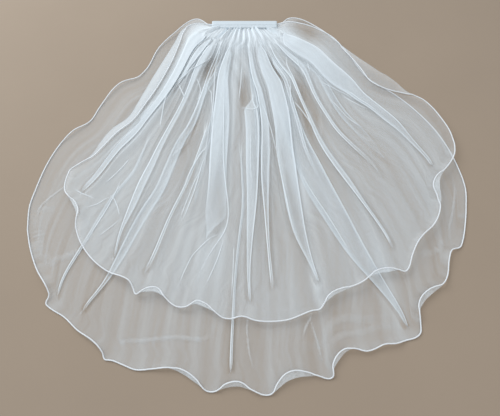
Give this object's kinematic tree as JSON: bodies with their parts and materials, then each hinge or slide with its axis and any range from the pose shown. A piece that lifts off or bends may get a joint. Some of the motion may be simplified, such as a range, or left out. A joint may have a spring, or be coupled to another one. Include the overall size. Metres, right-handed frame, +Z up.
{
  "type": "bridal veil",
  "caption": "Tiered tulle bridal veil laid out flat, gathered onto a comb under a satin band, with a satin cord edging.",
  "frame": {"origin": "middle of the comb's flat underside, on the table, under the middle of the satin band", "axes": "+X along the satin band to the wearer's side, +Z up from the table, and the hem points to -Y"},
  "size_m": [0.6163, 0.5969, 0.0207],
  "materials": {
    "tulle": "fine net, half see-through, cool white",
    "satin": "satin",
    "comb_plastic": "milky plastic"
  },
  "bodies": {
    "root": {"lower_tier": "tulle", "upper_tier": "tulle", "lower_edging": "satin", "upper_edging": "satin", "satin_band": "satin", "hair_comb": "comb_plastic"}
  },
  "joints": []
}
